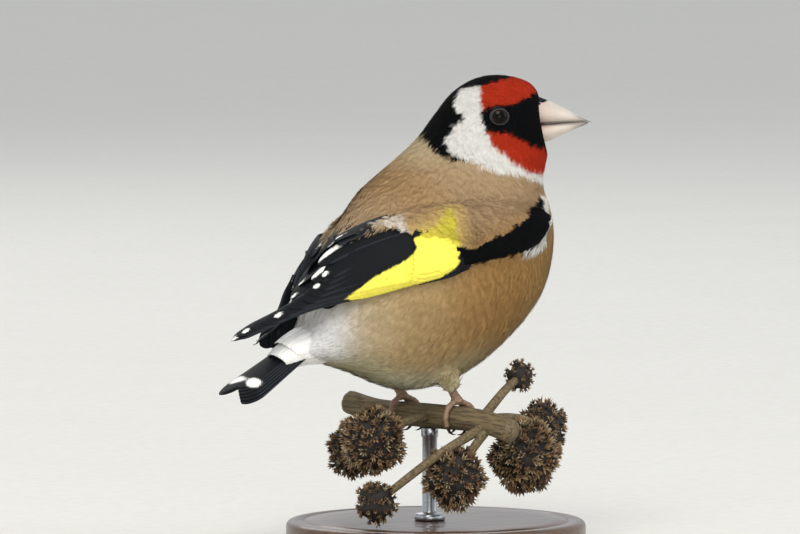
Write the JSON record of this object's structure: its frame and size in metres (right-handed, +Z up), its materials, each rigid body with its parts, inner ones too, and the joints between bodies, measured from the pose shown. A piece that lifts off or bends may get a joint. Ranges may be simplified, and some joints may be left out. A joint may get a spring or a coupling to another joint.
{
  "type": "european goldfinch",
  "caption": "Still, life-size goldfinch with a red face and yellow wing bar, gripping a dry seed-head perch held on a round display stand.",
  "frame": {"origin": "centre of the base's underside", "axes": "+Z up, +X the way the body heads, +Y to the bird's left"},
  "size_m": [0.0828, 0.064, 0.1012],
  "materials": {
    "face_plumage": "matt plumage, red, black and white",
    "collar_plumage": "matt plumage, off-white to buff",
    "brown_plumage": "matt plumage, warm brown",
    "black_plumage": "satin flight feathers, black",
    "bill_horn": "satin horn, pale pinkish",
    "eye_gloss": "polished, very dark brown",
    "leg_skin": "dry scaly skin, dull pink",
    "claw_horn": "satin horn, dark",
    "dry_stem": "dry plant stem",
    "dry_seed": "dry seed heads, rough",
    "stand_wood": "dark stained and waxed",
    "stand_steel": "brushed"
  },
  "bodies": {
    "root": {"bill_lower": "bill_horn", "bill_upper": "bill_horn", "claw_left_1": "claw_horn", "claw_left_2": "claw_horn", "claw_left_3": "claw_horn", "claw_left_4": "claw_horn", "claw_right_1": "claw_horn", "claw_right_2": "claw_horn", "claw_right_3": "claw_horn", "claw_right_4": "claw_horn", "eye_left": "eye_gloss", "eye_right": "eye_gloss", "foot_left": "leg_skin", "foot_right": "leg_skin", "head": "face_plumage", "neck": "collar_plumage", "perch_seed_head_1": "dry_seed", "perch_seed_head_2": "dry_seed", "perch_seed_head_3": "dry_seed", "perch_seed_head_4": "dry_seed", "perch_seed_head_5": "dry_seed", "perch_seed_head_6": "dry_seed", "perch_seed_head_7": "dry_seed", "perch_stem": "dry_stem", "stand_base": "stand_wood", "stand_rod": "stand_steel", "tail": "black_plumage", "tarsus_left": "leg_skin", "tarsus_right": "leg_skin", "thigh_left": "brown_plumage", "thigh_right": "brown_plumage", "trunk": "brown_plumage", "wing_left_coverts": "black_plumage", "wing_left_primaries": "black_plumage", "wing_left_secondaries": "black_plumage", "wing_right_coverts": "black_plumage", "wing_right_primaries": "black_plumage", "wing_right_secondaries": "black_plumage"}
  },
  "joints": []
}
